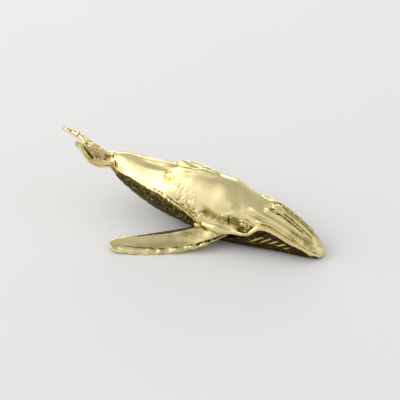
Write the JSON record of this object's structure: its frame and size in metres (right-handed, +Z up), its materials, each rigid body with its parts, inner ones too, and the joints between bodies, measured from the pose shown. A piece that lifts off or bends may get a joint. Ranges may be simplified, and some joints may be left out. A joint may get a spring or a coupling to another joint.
{
  "type": "whale figurine",
  "caption": "Polished cast brass humpback whale figurine that rests on its pleated throat and two outspread flippers, tail raised and turned.",
  "frame": {"origin": "middle of the bounding box, on the surface that the throat and flippers rest on", "axes": "+X towards the snout, +Z up, the whale's right side towards -Y"},
  "size_m": [0.0688, 0.0404, 0.0205],
  "materials": {
    "polished_brass": "hand polished, with dark residue left in the hollows and an as-cast belly",
    "cast_brass": "as cast and toned dark, brighter on the crests",
    "tarnished_brass": "lightly tarnished, with toned grooves and bright edges",
    "braze": "rough fillet left from casting, bright on its high points"
  },
  "bodies": {
    "root": {"body": "polished_brass", "throat": "cast_brass", "right_flipper": "polished_brass", "left_flipper": "polished_brass", "tail_flukes": "tarnished_brass", "dorsal_fin": "polished_brass", "right_eye": "cast_brass", "left_eye": "cast_brass", "right_flipper_braze": "braze", "left_flipper_braze": "braze", "tail_braze": "braze"}
  },
  "joints": []
}
